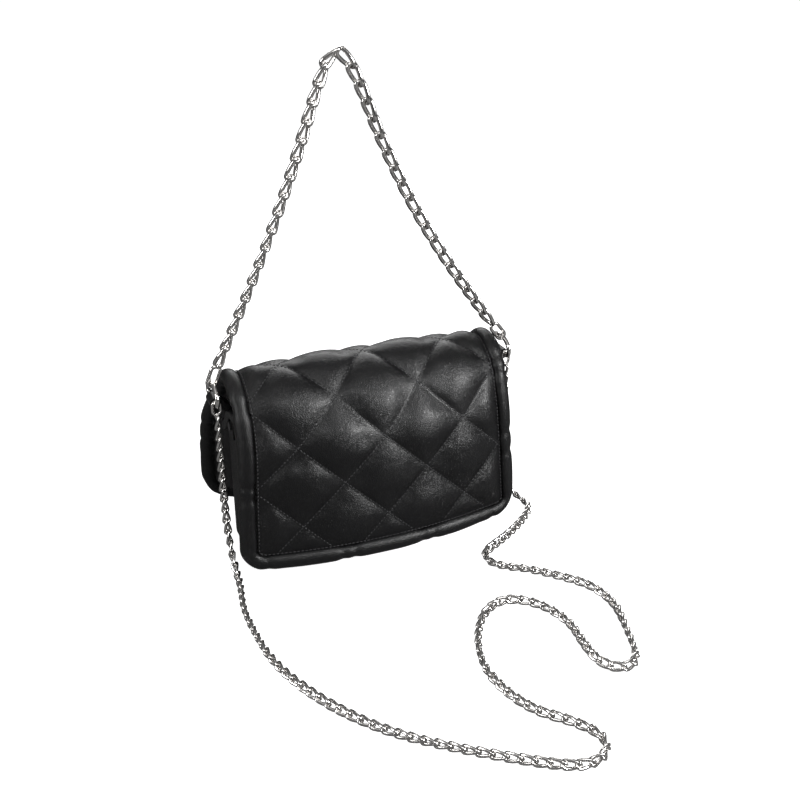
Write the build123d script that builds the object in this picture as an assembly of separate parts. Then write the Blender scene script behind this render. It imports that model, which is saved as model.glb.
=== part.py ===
from build123d import *
import os
from math import acos, atan2, cos, degrees, hypot, radians, sin, tan

# Quilted crossbody purse with a flap, a held-up chain handle and a long chain strap.
# Millimetres. X runs along the bag, the flap faces -Y, the back panel faces +Y, +Z is up.
# The origin is on the surface the bag stands on, under the middle of the bag.

# ---- wrap: one quilted sheet that is the back, the top and the flap ----
wrap_width = 189.0          # over the padded border at both sides
back_face = 41.75           # Y of the back panel's lower edge, outside
back_height = 96.0          # curved length of the back panel above its corners
back_bulge = 24.0           # degrees that the back panel curves outwards
top_edge_radius = 16.0      # bend from the back panel to the top
top_edge_turn = 56.0
top_depth = 26.0            # curved length of the top behind the ridge
top_turn = 14.0
ridge_radius = 22.0         # bend from the top down into the flap
ridge_back_turn = 38.0      # the part of it behind the hinge line
ridge_front_turn = 17.0     # and the part in front, on the flap
flap_length = 102.0         # curved length of the flap below the ridge bend
flap_turn = 41.0

leather = 1.8               # outer leather
wadding = 3.0               # quilted foam under it
board = 1.4                 # stiffener
lining = 0.8                # inner cloth

border_radius = 5.0         # padded border that runs round the wrap
border_skin = 1.3
border_proud = 1.0          # how far the border stands out of the panel
back_corner = 10.0          # bend of the border's centre line at the lower corners
flap_corner = 18.0

# ---- flap hinge ----
hinge_gap = 0.35            # at the hinge axis
hinge_spare = 1.0           # degrees left in the groove when the flap is closed

# ---- pouch ----
pouch_inset = 4.5           # the pouch's ends, inside the wrap's ends
pouch_depth = 53.75         # front panel's outer face to the back panel's lower edge
gusset_drop = 2.0           # gussets' top, below the bend at the back panel's top
front_drop = 18.0           # front panel's top, below the gussets' top
gusset_slope = 14.0         # the gussets' front corner is cut off at 45 degrees, this far
gusset_wall = 1.8
base_board = 2.0
base_gap = 0.5              # base to the wrap's lower border
welt_thickness = 5.0        # layered seam between the back panel and the gusset
welt_width = 11.0
binding = 0.9               # leather edging on the front panel's top edge
binding_height = 6.0

# ---- slip pocket on the back lining ----
pocket_width = 110.0
pocket_low = 26.0           # along the back panel, from the border's lower edge
pocket_tall = 52.0
pocket_wall = 1.0
pocket_room = 1.5
pocket_margin = 3.0

# ---- snap ----
snap_radius = 7.0
snap_thick = 4.8
snap_washer_radius = 8.0
snap_washer = 0.8
snap_sunk = 0.4             # the stud's foot is let into the lining
snap_along = 74.0           # along the flap from the ridge bend's end
snap_gap = 1.3              # between the closed faces, which meet at a slight angle

# ---- ring, its tab and rivet, each side ----
ring_out = 7.0              # the ring's straight bar, outside the wrap's end
ring_back = 22.0            # middle of the ring, behind the front panel's face
bar_above_gusset = 6.0
ring_wire = 3.0
ring_half_width = 12.5      # centre line, along Y
ring_height = 12.0          # centre line, above the bar
ring_foot_radius = 3.5
ring_shoulder_turn = 55.0
tab_width = 11.0
tab_leather = 1.9
tab_clear = 0.05            # leather to the bar
tab_leg = 20.0
tab_foot = 8.0              # top of the tab's flat leg, below the bar
tab_blend = 3.0             # its leather thickens over this height
tab_overlap = 0.2           # the loop's leather runs into the leg's by this much
rivet_shank = 1.5
rivet_head = 3.2
rivet_head_thick = 1.2
rivet_below_tab = 12.0

# ---- chains ----
handle_width = 8.2          # thick curb chain
handle_pitch = 11.1
handle_wire = 2.4
strap_width = 6.6           # finer curb chain
strap_pitch = 7.3
strap_wire = 1.8
link_play = 0.05            # between a link and the wire that it hangs on
link_room = 0.4             # the end links are this much wider inside than the ring's wire
strap_link_back = 8.0       # long chain's first link, behind the middle of the ring
handle_lean_left = 22.7     # degrees that the handle's end links lean inwards
handle_lean_right = 38.4

# Routes of the two chains, as points that their runs turn at.
handle_route = [
    (96.6, 10.0, 137.8), (70.0, 10.0, 190.0), (41.5, 10.0, 256.0), (19.5, 10.0, 318.5),
    (6.5, 10.0, 318.5), (-17.5, 10.0, 256.0), (-54.0, 10.0, 190.0), (-93.6, 10.0, 136.0)]
strap_route = [
    (101.5, 18.0, 105.6), (101.6, 18.6, 89.0), (101.9, 19.2, 68.0), (102.2, 20.4, 47.0),
    (102.4, 24.5, 28.0), (102.5, 31.5, 12.5), (102.7, 42.0, 4.5), (103.6, 56.0, 3.4),
    (108.5, 80.0, 3.4), (108.3, 107.0, 3.4), (106.0, 134.0, 3.4), (97.0, 162.0, 3.4),
    (83.0, 189.0, 3.4), (64.0, 214.0, 3.4), (38.0, 236.5, 3.4), (10.0, 257.0, 3.4),
    (-9.0, 269.5, 3.4), (-22.0, 273.0, 3.4), (-34.0, 267.5, 3.4), (-36.0, 256.0, 3.4),
    (-27.0, 242.0, 3.4), (-13.0, 228.0, 3.4), (-5.0, 207.0, 3.4), (-3.5, 184.0, 3.4),
    (-12.0, 160.0, 3.4), (-27.0, 139.5, 3.4), (-46.0, 132.5, 3.4), (-63.0, 146.0, 3.4),
    (-70.5, 168.0, 3.4), (-67.5, 188.0, 3.4), (-66.5, 203.0, 3.4), (-70.0, 212.5, 3.4),
    (-78.0, 217.5, 3.4), (-87.0, 214.5, 3.4), (-92.5, 205.0, 3.4), (-98.0, 189.0, 3.4),
    (-106.0, 165.0, 3.4), (-103.5, 143.0, 3.4), (-90.0, 126.0, 3.4), (-74.0, 110.5, 3.4),
    (-62.0, 102.5, 3.4), (-55.5, 95.0, 3.4), (-55.0, 86.0, 3.4), (-61.5, 79.5, 3.4),
    (-76.0, 72.5, 3.4), (-93.0, 62.0, 3.4), (-106.0, 51.5, 3.4), (-113.5, 42.0, 3.4),
    (-112.0, 31.5, 4.0), (-106.0, 24.5, 9.5), (-103.4, 21.5, 20.0), (-102.4, 20.0, 36.0),
    (-102.0, 19.2, 58.0), (-101.7, 18.6, 82.0), (-101.5, 18.0, 105.6)]

LEFT, RIGHT = 1, -1         # the +X end and the -X end
SIDES = {"left": LEFT, "right": RIGHT}
beyond = 20.0               # solids that only cut others run past them by this much

os.makedirs("parts", exist_ok=True)


def save(name, shape):
    """Write one sub-part and say how big it is."""
    export_step(shape, f"parts/{name}.step")
    size = shape.bounding_box().size
    print(f"{name:26s} {shape.volume:10.1f} mm3  {size.X:6.1f} {size.Y:6.1f} {size.Z:6.1f}")


# ---------------------------------------------------------------- wrap profile
class Profile:
    """A curve in the YZ plane: straights and arcs that all turn towards the inside."""

    def __init__(self, start, heading, moves):
        self.moves = []
        y, z = start
        for length, turn in moves:
            self.moves.append((y, z, heading, length, turn))
            y, z, heading = self.step(y, z, heading, length, turn)
        self.end = (y, z, heading)

    @staticmethod
    def step(y, z, heading, length, turn):
        a = radians(heading)
        if turn == 0:
            return y + length * cos(a), z + length * sin(a), heading
        radius = length / radians(turn)
        b = radians(heading + turn)
        return y + radius * (sin(b) - sin(a)), z + radius * (cos(a) - cos(b)), heading + turn

    def at(self, along, depth=0.0):
        """Point and heading at a distance along the outer face, depth to the inside."""
        for y, z, heading, length, turn in self.moves:
            if along <= length + 1e-9:
                break
            along -= length
        y, z, heading = self.step(y, z, heading, along, turn * along / length)
        a = radians(heading)
        return y - depth * sin(a), z + depth * cos(a), heading

    def length(self):
        return sum(move[3] for move in self.moves)

    def edges(self, depth, low, high):
        """Lines and arcs at one depth, from low to high along the outer face."""
        found = []
        done = 0.0
        for *_, length, turn in self.moves:
            a, b = max(low, done), min(high, done + length)
            if b - a > 1e-6:
                p, m, q = (self.at(s, depth)[:2] for s in (a, (a + b) / 2, b))
                found.append(Line(p, q) if turn == 0 else ThreePointArc(p, m, q))
            done += length
        return found

    def band(self, near, far, half_width, low=0.0, high=None, centre=0.0):
        """A layer of the wrap between two depths, centred on X = centre."""
        high = self.length() if high is None else high
        ends = [Line(self.at(s, near)[:2], self.at(s, far)[:2]) for s in (low, high)]
        outline = self.edges(near, low, high) + self.edges(far, low, high) + ends
        face = Plane.YZ * make_face(outline)
        return Pos(centre, 0, 0) * extrude(face, half_width, both=True)


def arc_length(radius, turn):
    return radius * radians(turn)


half_width = wrap_width / 2
border_line = border_radius - border_proud      # depth of the border's centre line
panel_depth = leather + wadding + board + lining
half_bulge = back_bulge / 2

# Back: up from the lower edge, over the top edge and forward to the hinge line.
back = Profile((back_face, border_radius), 90.0 - half_bulge, [
    (back_corner, 0.0),
    (back_height, back_bulge),
    (arc_length(top_edge_radius, top_edge_turn), top_edge_turn),
    (top_depth, top_turn),
    (arc_length(ridge_radius, ridge_back_turn), ridge_back_turn)])
hinge_y, hinge_z, hinge_heading = back.end
panel_top = back.at(back_corner + back_height)[1]

# Flap: from the hinge line over the ridge and down the front.
flap = Profile((hinge_y, hinge_z), hinge_heading, [
    (arc_length(ridge_radius, ridge_front_turn), ridge_front_turn),
    (flap_length, flap_turn),
    (flap_corner, 0.0)])

# The hinge axis lies on the border's outermost skin, so the flap only opens away from it.
hinge_normal = (sin(radians(hinge_heading)), -cos(radians(hinge_heading)))
axis_y = hinge_y + hinge_normal[0] * border_proud
axis_z = hinge_z + hinge_normal[1] * border_proud

# The pouch hangs from the back panel, and the rings from the pouch.
half_pouch = half_width - pouch_inset
pouch_front = back_face - pouch_depth
gusset_top = panel_top - gusset_drop
front_height = gusset_top - front_drop
ring_x = half_width + ring_out
ring_y = pouch_front + ring_back
bar_z = gusset_top + bar_above_gusset

# The flap is closed when its stud meets the cup on the front panel.
snap_at = arc_length(ridge_radius, ridge_front_turn) + snap_along
stud_y, stud_z, _ = flap.at(snap_at, panel_depth + snap_thick)
stud_reach = hypot(stud_y - axis_y, stud_z - axis_z)
stud_angle = degrees(atan2(stud_z - axis_z, stud_y - axis_y))
closed_y = pouch_front - snap_thick - snap_gap - axis_y
close_angle = -degrees(acos(closed_y / stud_reach)) - stud_angle
snap_z = axis_z + stud_reach * sin(radians(stud_angle + close_angle))


def hinge_wedge():
    """Open groove under the hinge that lets the flap close by close_angle."""
    deep = 3 * border_radius
    a = radians(hinge_heading)
    forward, inward = (cos(a), sin(a)), (-sin(a), cos(a))

    def place(along, depth):
        return (axis_y + forward[0] * along + inward[0] * depth,
                axis_z + forward[1] * along + inward[1] * depth)

    opening = hinge_gap + deep * tan(radians(close_angle + hinge_spare))
    above = -2 * border_proud
    outline = Polyline(place(above, above), place(above, deep), place(opening, deep),
                       place(hinge_gap, 0), place(hinge_gap, above), close=True)
    return extrude(Plane.YZ * make_face(outline), wrap_width, both=True)


def border_path(profile, corner, tip_first):
    """Centre line of the padded border: down one side, across the tip, up the other."""
    depth = border_line
    full = profile.length()
    low, high = (corner, full) if tip_first else (0.0, full - corner)
    near_tip = low if tip_first else high
    tip = 0.0 if tip_first else full
    x = half_width - border_radius
    across = [Vector(side * (x - corner), *profile.at(tip, depth)[:2]) for side in (1, -1)]
    path = [Line(across[0], across[1])]
    for side, inner in zip((1, -1), across):
        outer = Vector(side * x, *profile.at(near_tip, depth)[:2])
        along = Vector(side, 0, 0)
        path.append(TangentArc(inner, outer, tangent=along))
        for edge in profile.edges(depth, low, high):
            path.append(Plane((side * x, 0, 0), x_dir=(0, 1, 0), z_dir=(1, 0, 0)) * edge)
    return Wire([edge.edge() for edge in path])


def border(profile, corner, tip_first, outer, inner=0.0):
    """The border's tube, or its core when inner is 0."""
    path = border_path(profile, corner, tip_first)
    section = Circle(outer)
    if inner:
        section -= Circle(inner)
    return sweep(Plane(path @ 0, z_dir=path % 0) * section, path=path)


def largest(shape):
    """The main solid of a cut shape, without the slivers that the cut may leave."""
    return max(shape.solids(), key=lambda solid: solid.volume)


def wrap_layers(profile, corner, tip_first, cut=None):
    """Leather, wadding, board and lining of one panel, and its padded border."""
    whole = border(profile, corner, tip_first, border_radius)
    across = half_width - border_radius
    depth = 0.0
    layers = []
    for thick in (leather, wadding, board, lining):
        layers.append(profile.band(depth, depth + thick, across) - whole)
        depth += thick
    core_radius = border_radius - border_skin
    layers.append(border(profile, corner, tip_first, border_radius, core_radius))
    layers.append(border(profile, corner, tip_first, core_radius))
    if cut is not None:
        layers = [layer - cut for layer in layers]
    return [largest(layer) for layer in layers]


# ---------------------------------------------------------------- build the wrap
back_layers = wrap_layers(back, back_corner, True)
flap_layers = wrap_layers(flap, flap_corner, False, hinge_wedge())
names = ["leather", "wadding", "board", "lining", "border", "border_core"]


# Room inside the wrap: everything in the pouch stays behind this face.
def inside(profile, depth):
    """The space in front of the back panel, seen from its inner face at a depth."""
    outline = profile.edges(depth, 0.0, profile.length())
    top = profile.at(profile.length(), depth)[:2]
    foot = profile.at(0.0, depth)[:2]
    front, low = pouch_front - beyond, -beyond
    outline += [Line(top, (front, top[1])), Line((front, top[1]), (front, low)),
                Line((front, low), (foot[0], low)), Line((foot[0], low), foot)]
    return extrude(Plane.YZ * make_face(outline), wrap_width, both=True)


def block(x0, x1, y0, y1, z0, z1):
    return Pos((x0 + x1) / 2, (y0 + y1) / 2, (z0 + z1) / 2) * Box(x1 - x0, y1 - y0, z1 - z0)


# ---------------------------------------------------------------- pouch
border_back_depth = border_line + border_radius     # depth of the border's inner side
base_top = leather + base_board + lining
front_layers_depth = leather + board + lining
pouch_back = back.at(0.0, border_back_depth)[0]     # where the base meets the border

gusset_room = inside(back, border_back_depth + welt_thickness)

front_in = pouch_front + front_layers_depth
base_back = pouch_back - base_gap
base_leather = block(-half_pouch, half_pouch, pouch_front + leather, base_back, 0, leather)
base_stiffener = block(-half_pouch + gusset_wall, half_pouch - gusset_wall, front_in,
                       base_back, leather, leather + base_board)
base_lining = block(-half_pouch + gusset_wall + lining, half_pouch - gusset_wall - lining,
                    front_in, base_back, leather + base_board, base_top)
front_leather = block(-half_pouch, half_pouch, pouch_front, pouch_front + leather,
                      0, front_height)
front_board = block(-half_pouch + gusset_wall, half_pouch - gusset_wall,
                    pouch_front + leather, pouch_front + leather + board, leather, front_height)
front_lining = block(-half_pouch + gusset_wall, half_pouch - gusset_wall, front_in - lining,
                     front_in, leather, front_height)
edge_binding = (block(-half_pouch, half_pouch, pouch_front - binding, front_in + binding,
                      front_height - binding_height, front_height + binding)
                - block(-half_width, half_width, pouch_front, front_in, 0, front_height))


def gusset(side, outer, thick, low):
    """One side wall of the pouch, a sheet with its outer face at X = side * outer."""
    x0, x1 = sorted((side * outer, side * (outer - thick)))
    sheet = block(x0, x1, front_in, back_face + beyond, low, gusset_top) & gusset_room
    corner = Polyline((front_in, gusset_top - gusset_slope), (front_in + gusset_slope, gusset_top),
                      (front_in, gusset_top), close=True)
    return largest(sheet - extrude(Plane.YZ * make_face(corner), half_width, both=True))


def gusset_sheets(side):
    """Leather and lining of one side wall."""
    return (gusset(side, half_pouch, gusset_wall, leather),
            gusset(side, half_pouch - gusset_wall, lining, leather + base_board))


def side_welt(side):
    """Layered seam that joins the back panel's border to the gusset."""
    centre = side * (half_pouch - welt_width / 2 + border_radius / 2)
    low, high = back_corner, back_corner + back_height
    depth = border_back_depth
    return back.band(depth, depth + welt_thickness, welt_width / 2, low, high, centre)


def pocket():
    """Slip pocket: a panel that stands off the lining, closed at its sides and foot."""
    low, high = pocket_low, pocket_low + pocket_tall
    near = panel_depth + pocket_room
    half = pocket_width / 2
    panel = back.band(near, near + pocket_wall, half, low, high)
    foot = back.band(panel_depth, near, half, low, low + pocket_margin)
    sides = [back.band(panel_depth, near, pocket_margin / 2, low, high,
                       side * (half - pocket_margin / 2)) for side in (1, -1)]
    return largest(panel + foot + sides[0] + sides[1])


# ---------------------------------------------------------------- snap
def on_flap(along, depth):
    """Plane on the flap's layers, its normal towards the pouch."""
    y, z, heading = flap.at(along, depth)
    a = radians(heading)
    return Plane((0, y, z), x_dir=(1, 0, 0), z_dir=(0, -sin(a), cos(a)))


def disc(plane, radius, thick):
    return extrude(plane * Circle(radius), thick)


flap_washer = disc(on_flap(snap_at, leather + wadding), snap_washer_radius, snap_washer)
flap_stud = disc(on_flap(snap_at, panel_depth - snap_sunk), snap_radius,
                 snap_thick + snap_sunk)


front_plane = Plane((0, pouch_front, snap_z), x_dir=(1, 0, 0), z_dir=(0, -1, 0))
front_cup = disc(front_plane, snap_radius, snap_thick)
washer_plane = Plane((0, pouch_front + leather + snap_washer, snap_z), x_dir=(1, 0, 0),
                     z_dir=(0, -1, 0))
front_washer = disc(washer_plane, snap_washer_radius, snap_washer)


# ---------------------------------------------------------------- ring, tab and rivet
def d_ring(side):
    """Round-wire D: straight bar below, half round above, in the plane X = ring_x."""
    r, w, h = ring_foot_radius, ring_half_width, ring_height
    turn = radians(ring_shoulder_turn)
    share = (1 - sin(turn)) / cos(turn)
    shoulder = (h - r - share * w) / (1 - share)
    crown = shoulder + (w - shoulder) / cos(turn)
    foot_mid = r * (1 - cos(radians(45)))
    half_turn, crown_turn = turn / 2, (turn + radians(90)) / 2
    shoulder_mid = (w - shoulder + shoulder * cos(half_turn), r + shoulder * sin(half_turn))
    shoulder_end = (crown * cos(turn), h - crown + crown * sin(turn))
    crown_mid = (crown * cos(crown_turn), h - crown + crown * sin(crown_turn))

    def flip(point):
        return -point[0], point[1]

    one_side = [((w - r, 0), (w - foot_mid, foot_mid), (w, r)),
                ((w, r), shoulder_mid, shoulder_end), (shoulder_end, crown_mid, (0, h))]
    outline = [Line((-(w - r), 0), (w - r, 0))]
    outline += [ThreePointArc(*points) for points in one_side]
    outline += [ThreePointArc(*(flip(p) for p in reversed(points)))
                for points in reversed(one_side)]
    plane = Plane((side * ring_x, ring_y, bar_z), x_dir=(0, 1, 0), z_dir=(1, 0, 0))
    path = plane * Wire([edge.edge() for edge in outline])
    return sweep(Plane(path @ 0, z_dir=path % 0) * Circle(ring_wire / 2), path=path)


def tab(side):
    """Leather loop round the ring's bar, its foot stitched flat on the gusset."""
    bar = ring_wire / 2 + tab_clear
    out = bar + tab_leather
    wall = half_pouch
    foot_top = bar_z - tab_foot
    centre = Vector(ring_x, bar_z)
    foot = Vector(wall + tab_leather, foot_top)
    along = (centre - foot).normalized()
    across = Vector(-along.Y, along.X)
    strap = Polyline(foot - across * tab_overlap, centre - across * out,
                     centre + across * out, foot + across * (2 * tab_leather - tab_overlap),
                     close=True)
    middle, outer = wall + tab_leather, wall + 2 * tab_leather
    leg = Polyline((wall, foot_top - tab_leg), (middle, foot_top - tab_leg),
                   (middle, foot_top), (outer, foot_top + tab_blend),
                   (middle, foot_top + tab_blend), (wall, foot_top), close=True)
    shape = make_face(strap) + make_face(leg) + Pos(ring_x, bar_z) * Circle(out)
    shape -= Pos(ring_x, bar_z) * Circle(bar)
    solid = extrude(Plane.XZ * shape, tab_width / 2, both=True)
    solid = Pos(0, ring_y, 0) * solid
    solid -= rivet(LEFT, tab_clear)
    return solid if side == LEFT else mirror(solid, about=Plane.YZ)


def rivet(side, grow=0.0):
    """Double-cap rivet through the tab's leg and the gusset."""
    z = bar_z - tab_foot - rivet_below_tab
    stack = tab_leather + gusset_wall + lining
    inner = half_pouch - gusset_wall - lining
    plane = Plane((inner, ring_y, z), x_dir=(0, 1, 0), z_dir=(1, 0, 0))
    shank = disc(plane, rivet_shank + grow, stack)
    if grow == 0.0:
        outer_plane = Plane((inner + stack, ring_y, z), x_dir=(0, 1, 0), z_dir=(1, 0, 0))
        shank += disc(outer_plane, rivet_head, rivet_head_thick)
        shank += disc(plane, rivet_head, -rivet_head_thick)
    return shank if side == LEFT else mirror(shank, about=Plane.YZ)


# ---------------------------------------------------------------- chains
def link(bottom, direction, pitch, width, wire, facing):
    """One oval chain link: bottom bar centre, direction of its length, normal of its plane."""
    half = (width - wire) / 2
    straight = pitch + wire - 2 * half
    plane = Plane(bottom, x_dir=direction, z_dir=facing)
    path = plane * Wire([edge.edge() for edge in (
        Line((half, half), (half + straight, half)),
        ThreePointArc((half + straight, half), (2 * half + straight, 0),
                      (half + straight, -half)),
        Line((half + straight, -half), (half, -half)),
        ThreePointArc((half, -half), (0, 0), (half, half)))])
    return sweep(Plane(path @ 0, z_dir=path % 0) * Circle(wire / 2), path=path)


def route_radii(route):
    """Each corner's arc is as large as its two runs allow."""
    points = [Vector(*p) for p in route]
    radii = []
    for a, b, c in zip(points, points[1:], points[2:]):
        turn = (b - a).get_angle(c - b)
        shorter = min((b - a).length, (c - b).length)
        radii.append(0.45 * shorter / tan(radians(turn / 2)))
    return radii


def chain_solid(name, route, width):
    """A chain's plain solid: a round tube along straight runs and tangent arcs."""
    radii = route_radii(route)
    path = FilletPolyline(*route, radius=radii)
    print(name, "length", round(path.length, 1), "radii", [round(r) for r in radii])
    solid = sweep(Plane(path @ 0, z_dir=path % 0) * Circle(width / 2), path=path)
    section = Circle(width / 2).area
    print(name, "volume over section x length", round(solid.volume / section / path.length, 4))
    return solid


def handle_end_link(side):
    """Last link of the handle, round the top of the D-ring."""
    crown = Vector(side * ring_x, ring_y, bar_z + ring_height)
    lean = radians(handle_lean_left if side == LEFT else handle_lean_right)
    along = Vector(-side * sin(lean), 0, cos(lean))
    below = ring_wire / 2 + link_play + handle_wire / 2
    width = ring_wire + link_room + 2 * handle_wire
    return link(crown - along * below, along, handle_pitch, width, handle_wire, (0, 1, 0))


def strap_end_link(side):
    """First link of the long chain, round the end of the D-ring's bar."""
    high = bar_z + ring_wire / 2 + link_play + strap_wire / 2
    start = Vector(side * ring_x, ring_y + strap_link_back, high)
    width = ring_wire + link_room + 2 * strap_wire
    return link(start, (0, 0, -1), strap_pitch, width, strap_wire, (0, 1, 0))


# ---------------------------------------------------------------- write everything
for name, layer in zip(names, back_layers):
    save(f"back_{name}", layer)

flap_parts = dict(zip(names, flap_layers))
for name in ("wadding", "board"):
    flap_parts[name] -= flap_washer
flap_parts["lining"] -= flap_stud
for name, layer in flap_parts.items():
    save(f"flap_{name}", layer)
save("flap_snap_washer", flap_washer)
save("flap_snap_stud", flap_stud)

save("base_leather", base_leather)
save("base_board", base_stiffener)
save("base_lining", base_lining)
save("front_leather", front_leather)
save("front_board", front_board - front_washer)
save("front_lining", front_lining)
for side in SIDES.values():
    for sheet in gusset_sheets(side):
        edge_binding -= sheet
save("front_edge_binding", edge_binding)
save("front_snap_washer", front_washer)
save("front_snap_cup", front_cup)
save("slip_pocket", pocket())

rivets = Compound(children=[rivet(side) for side in SIDES.values()])
for word, side in SIDES.items():
    hole = rivet(side, tab_clear)
    outer_sheet, inner_sheet = gusset_sheets(side)
    save(f"gusset_{word}", outer_sheet - hole)
    save(f"gusset_lining_{word}", inner_sheet - hole)
    save(f"side_welt_{word}", side_welt(side))
    save(f"ring_tab_{word}", tab(side))
    save(f"d_ring_{word}", d_ring(side))
    save(f"handle_end_link_{word}", handle_end_link(side))
    save(f"strap_end_link_{word}", strap_end_link(side))
save("tab_rivets", rivets)

save("handle_chain", chain_solid("handle_chain", handle_route, handle_width))
save("crossbody_chain", chain_solid("crossbody_chain", strap_route, strap_width))
print("hinge axis", round(axis_y, 3), round(axis_z, 3), "heading", hinge_heading)
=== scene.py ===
import math

import bmesh
import bpy
import numpy as np
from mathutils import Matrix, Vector


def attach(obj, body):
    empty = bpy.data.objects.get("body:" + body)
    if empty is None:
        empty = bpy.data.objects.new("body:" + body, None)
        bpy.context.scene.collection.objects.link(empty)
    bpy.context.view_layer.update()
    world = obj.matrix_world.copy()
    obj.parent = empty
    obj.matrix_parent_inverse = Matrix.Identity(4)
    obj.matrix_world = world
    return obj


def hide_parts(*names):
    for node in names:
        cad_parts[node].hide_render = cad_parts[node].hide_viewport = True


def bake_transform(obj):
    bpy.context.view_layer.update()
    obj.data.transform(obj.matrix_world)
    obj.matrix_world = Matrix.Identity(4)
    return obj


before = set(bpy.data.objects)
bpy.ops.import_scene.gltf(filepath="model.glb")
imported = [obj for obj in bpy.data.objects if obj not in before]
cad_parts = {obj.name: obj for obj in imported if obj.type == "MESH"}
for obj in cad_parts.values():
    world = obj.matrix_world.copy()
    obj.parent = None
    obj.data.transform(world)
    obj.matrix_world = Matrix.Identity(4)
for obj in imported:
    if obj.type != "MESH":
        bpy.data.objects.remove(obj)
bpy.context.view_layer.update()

# Quilted crossbody purse. Sizes are in millimetres until mesh() turns them into metres.
MM = 0.001
SIDES = {"left": 1, "right": -1}

# ---------------------------------------------------------------- sizes
# Wrap: one padded sheet that is the back, the top and the flap.
HALF_TOP = 94.5             # half width over the padded border, at the top
FLARE = 4.6                 # and this much more at the foot of the back
FLAP_FLARE = 7.0            # the flap's sides spread and curl forward
FLAP_CURL = 6.0
SHEET = 7.0                 # outer face to lining
BACK_START = (47.0, 5.2, 93.8)      # Y, Z and heading of the back's lower edge
BACK_MOVES = [(74.8, 0), (32, 18.2), (14, 34), (18.5, 26), (14.6, 38)]     # length, turn
FLAP_MOVES = [(6.5, 17), (102, 41), (22, 0)]
BACK_LENGTH = sum(length for length, _ in BACK_MOVES)
WRAP_LENGTH = BACK_LENGTH + sum(length for length, _ in FLAP_MOVES)
BOW = 14.0                  # the stuffed back bulges this much at its middle
TOP_RISE = 3.0              # and the top rises a little

ROLL = 5.0                  # radius of the padded border
ROLL_DEPTH = 4.5            # its centre, below the panel's face
BACK_CORNER = 15.0
FLAP_CORNER = 22.0

QUILT_X, QUILT_S = 57.1, 55.0       # a diamond's width and height
QUILT_AT = (30.2, 111.3)            # one crossing of the seams
DIAMOND_SIDE = math.hypot(QUILT_X, QUILT_S) / 2
CELL_STEPS = 14                     # mesh squares along a diamond's side
SEAM_SPAN = 12                      # seams either way from the crossing, enough to cover the wrap
SEAM_DEPTH = 2.6                    # how far the seams lie below the puffs' base
PUFF_HEIGHT = 3.4
STITCH = 2.6                        # from one stitch to the next
BORDER_SEAM = 11.4                  # in from the wrap's edge

# Pouch
HALF_POUCH = 90.0
POUCH_FRONT = -12.0         # Y of the front panel
FRONT_TOP = 90.1
GUSSET_TOP = 108.0
SHELL = 3.4                 # outer leather to lining
POUCH_CORNER = 7.0
FOOT_TURN = 5.0             # the lower edge turns under over this height

# Chains
HANDLE = {"width": 8.2, "pitch": 11.1, "wire": 2.8}
STRAP = {"width": 6.6, "pitch": 7.3, "wire": 2.1}

HANDLE_ROUTE = [
    (96.6, 10.0, 137.8), (70.0, 10.0, 190.0), (41.5, 10.0, 256.0), (19.5, 10.0, 318.5),
    (6.5, 10.0, 318.5), (-17.5, 10.0, 256.0), (-54.0, 10.0, 190.0), (-93.6, 10.0, 136.0)]
STRAP_ROUTE = [
    (101.5, 18.0, 105.6), (101.6, 18.6, 89.0), (101.9, 19.2, 68.0), (102.2, 20.4, 47.0),
    (102.4, 24.5, 28.0), (102.5, 31.5, 12.5), (102.7, 42.0, 4.5), (103.6, 56.0, 3.4),
    (108.5, 80.0, 3.4), (108.3, 107.0, 3.4), (106.0, 134.0, 3.4), (97.0, 162.0, 3.4),
    (83.0, 189.0, 3.4), (64.0, 214.0, 3.4), (38.0, 236.5, 3.4), (10.0, 257.0, 3.4),
    (-9.0, 269.5, 3.4), (-22.0, 273.0, 3.4), (-34.0, 267.5, 3.4), (-36.0, 256.0, 3.4),
    (-27.0, 242.0, 3.4), (-13.0, 228.0, 3.4), (-5.0, 207.0, 3.4), (-3.5, 184.0, 3.4),
    (-12.0, 160.0, 3.4), (-27.0, 139.5, 3.4), (-46.0, 132.5, 3.4), (-63.0, 146.0, 3.4),
    (-70.5, 168.0, 3.4), (-67.5, 188.0, 3.4), (-66.5, 203.0, 3.4), (-70.0, 212.5, 3.4),
    (-78.0, 217.5, 3.4), (-87.0, 214.5, 3.4), (-92.5, 205.0, 3.4), (-98.0, 189.0, 3.4),
    (-106.0, 165.0, 3.4), (-103.5, 143.0, 3.4), (-90.0, 126.0, 3.4), (-74.0, 110.5, 3.4),
    (-62.0, 102.5, 3.4), (-55.5, 95.0, 3.4), (-55.0, 86.0, 3.4), (-61.5, 79.5, 3.4),
    (-76.0, 72.5, 3.4), (-93.0, 62.0, 3.4), (-106.0, 51.5, 3.4), (-113.5, 42.0, 3.4),
    (-112.0, 31.5, 4.0), (-106.0, 24.5, 9.5), (-103.4, 21.5, 20.0), (-102.4, 20.0, 36.0),
    (-102.0, 19.2, 58.0), (-101.7, 18.6, 82.0), (-101.5, 18.0, 105.6)]

rng = np.random.default_rng(7)


# ---------------------------------------------------------------- helpers
def mesh(name, points, faces, material=None, smooth=True):
    """A mesh object from points in millimetres."""
    data = bpy.data.meshes.new(name)
    data.from_pydata([tuple(float(c) * MM for c in p) for p in points], [], faces)
    data.validate()
    if smooth:
        data.shade_smooth()
    piece = bpy.data.objects.new(name, data)
    bpy.context.scene.collection.objects.link(piece)
    if material:
        data.materials.append(material)
    return piece


def grid_faces(rows, columns, closed_rows=False, closed_columns=False):
    """Quads of a grid whose points run row by row."""
    faces = []
    for r in range(rows if closed_rows else rows - 1):
        for c in range(columns if closed_columns else columns - 1):
            d, e = (r + 1) % rows, (c + 1) % columns
            faces.append((r * columns + c, r * columns + e, d * columns + e, d * columns + c))
    return faces


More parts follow.
